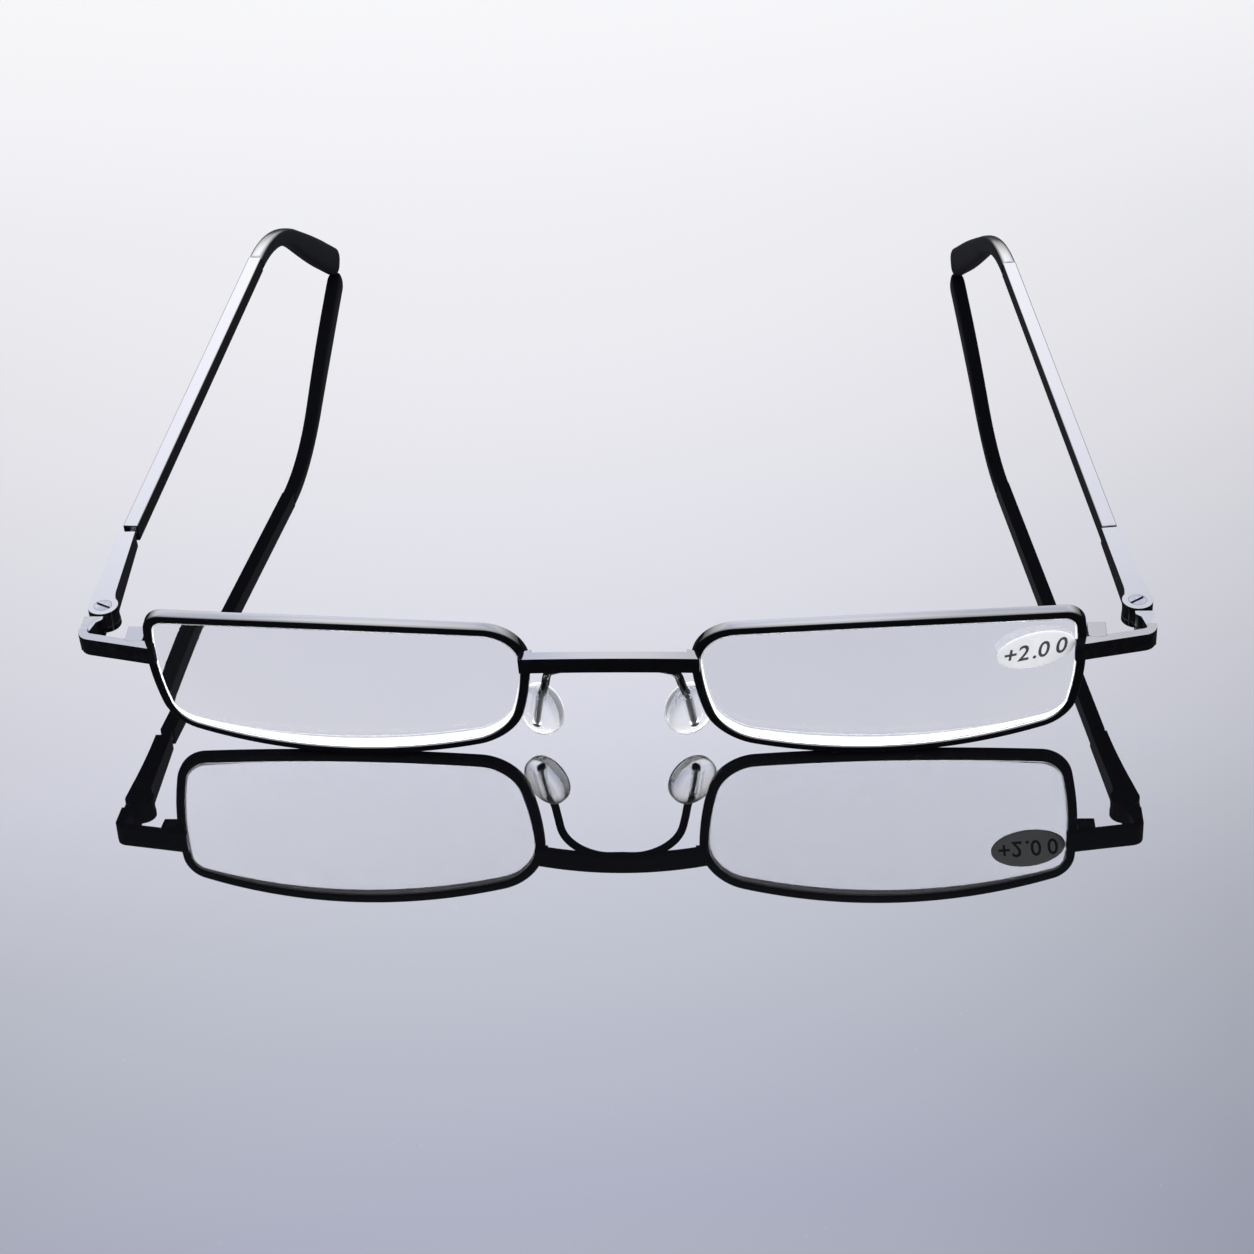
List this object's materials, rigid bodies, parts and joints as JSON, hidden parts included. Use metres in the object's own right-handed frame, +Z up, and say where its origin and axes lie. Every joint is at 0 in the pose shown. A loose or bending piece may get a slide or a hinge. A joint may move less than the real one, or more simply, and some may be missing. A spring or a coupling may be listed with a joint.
{
  "type": "rectangular reading glasses",
  "caption": "Slim rectangular metal reading glasses with folding temples, sprung temple joints, round clear nose pads and bent plastic tips.",
  "frame": {"origin": "on the table, at the middle of the glasses' bounding box", "axes": "+Z up, the front faces -Y, the temples run back along +Y; the wearer's left is at +X"},
  "size_m": [0.1364, 0.1452, 0.0227],
  "materials": {
    "black_metal": "glossy black plating with a faint blue cast, thin bright wear on the edges",
    "bare_steel": "plain turned steel",
    "lens_clear": "clear polished lens with ground bevel",
    "label_film": "thin white printed film",
    "clear_insert": "clear hard plastic, moulded into the pad",
    "pad_silicone": "clear soft silicone",
    "tip_plastic": "satin dark grey plastic with fine grain"
  },
  "bodies": {
    "front": {"rim_right": "black_metal", "rim_left": "black_metal", "lens_right": "lens_clear", "lens_left": "lens_clear", "power_label": "label_film", "bridge_bar": "black_metal", "pad_wire": "black_metal", "endpiece_right": "black_metal", "endpiece_left": "black_metal", "closing_block_upper_right": "black_metal", "closing_block_upper_left": "black_metal", "closing_block_lower_right": "black_metal", "closing_block_lower_left": "black_metal", "closing_screws": "bare_steel"},
    "pad_right": {"pad_core_right": "clear_insert", "nose_pad_right": "pad_silicone"},
    "arm_right": {"temple_arm_right": "black_metal", "hinge_screw_right": "bare_steel"},
    "pin_right": {"guide_pin_right": "bare_steel", "pin_nut_right": "bare_steel"},
    "tube_right": {"temple_tube_right": "black_metal", "guide_collar_right": "bare_steel", "return_spring_right": "bare_steel", "tip_core_right": "bare_steel", "temple_tip_right": "tip_plastic"},
    "pad_left": {"pad_core_left": "clear_insert", "nose_pad_left": "pad_silicone"},
    "arm_left": {"temple_arm_left": "black_metal", "hinge_screw_left": "bare_steel"},
    "pin_left": {"guide_pin_left": "bare_steel", "pin_nut_left": "bare_steel"},
    "tube_left": {"temple_tube_left": "black_metal", "guide_collar_left": "bare_steel", "return_spring_left": "bare_steel", "tip_core_left": "bare_steel", "temple_tip_left": "tip_plastic"}
  },
  "joints": [
    {"name": "temple_fold_right", "type": "hinge", "parent": "front", "child": "arm_right", "pos_m": [-0.06621, -0.06004, 0.0156], "axis": [0, 0.061, -0.9981], "range_deg": [0, 87.5]},
    {"name": "temple_flex_right", "type": "hinge", "parent": "arm_right", "child": "pin_right", "pos_m": [-0.06662, -0.04439, 0.01676], "axis": [0, 0.061, -0.9981], "range_deg": [-12, 0], "stiffness_Nm_per_rad": 0.05, "springref_deg": 5.73},
    {"name": "spring_travel_right", "type": "slide", "parent": "pin_right", "child": "tube_right", "axis": [0.0576, 0.9965, 0.0609], "range_m": [0, 0.0002], "stiffness_N_per_m": 1500, "springref_m": -0.0001},
    {"name": "pad_rock_right", "type": "hinge", "parent": "front", "child": "pad_right", "pos_m": [-0.0096, -0.06754, 0.0057], "axis": [0.1736, 0, 0.9848], "range_deg": [-6, 6]},
    {"name": "temple_fold_left", "type": "hinge", "parent": "front", "child": "arm_left", "pos_m": [0.06621, -0.06004, 0.0156], "axis": [0, -0.0419, 0.9991], "range_deg": [0, 78.5]},
    {"name": "temple_flex_left", "type": "hinge", "parent": "arm_left", "child": "pin_left", "pos_m": [0.06416, -0.04449, 0.01645], "axis": [0, -0.0419, 0.9991], "range_deg": [-12, 0], "stiffness_Nm_per_rad": 0.05, "springref_deg": 5.73},
    {"name": "spring_travel_left", "type": "slide", "parent": "pin_left", "child": "tube_left", "axis": [-0.1323, 0.9903, 0.0415], "range_m": [0, 0.0002], "stiffness_N_per_m": 1500, "springref_m": -0.0001},
    {"name": "pad_rock_left", "type": "hinge", "parent": "front", "child": "pad_left", "pos_m": [0.0096, -0.06754, 0.0057], "axis": [-0.1736, 0, 0.9848], "range_deg": [-6, 6]}
  ]
}
